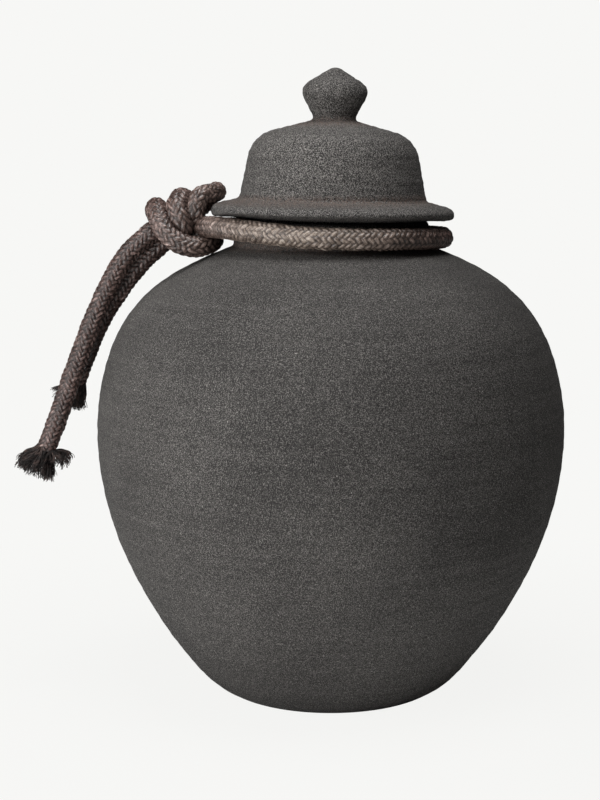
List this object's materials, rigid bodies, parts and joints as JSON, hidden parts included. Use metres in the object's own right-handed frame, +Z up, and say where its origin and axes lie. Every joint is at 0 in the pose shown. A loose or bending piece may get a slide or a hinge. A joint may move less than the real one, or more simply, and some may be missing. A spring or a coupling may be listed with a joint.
{
  "type": "lidded stoneware urn",
  "caption": "Round-bellied urn of dark unglazed stoneware with a domed, brimmed lid and a braided cord knotted round its neck, the frayed ends hanging at one side.",
  "frame": {"origin": "centre of the flat foot, on the surface that the urn stands on", "axes": "+Z up along the urn's axis, -Y to the front of the picture, +X to its right; the knot and the hanging ends are at -X"},
  "size_m": [0.2608, 0.2226, 0.2962],
  "materials": {
    "stoneware": "matte",
    "lid_stoneware": "matte",
    "waxed_cord": "waxed",
    "frayed_cord": "matte"
  },
  "bodies": {
    "root": {"urn_body": "stoneware", "lid": "lid_stoneware", "neck_rope": "waxed_cord", "rope_knot": "waxed_cord", "long_tail": "waxed_cord", "short_tail": "waxed_cord", "long_tail_fray": "frayed_cord", "short_tail_fray": "frayed_cord"}
  },
  "joints": []
}
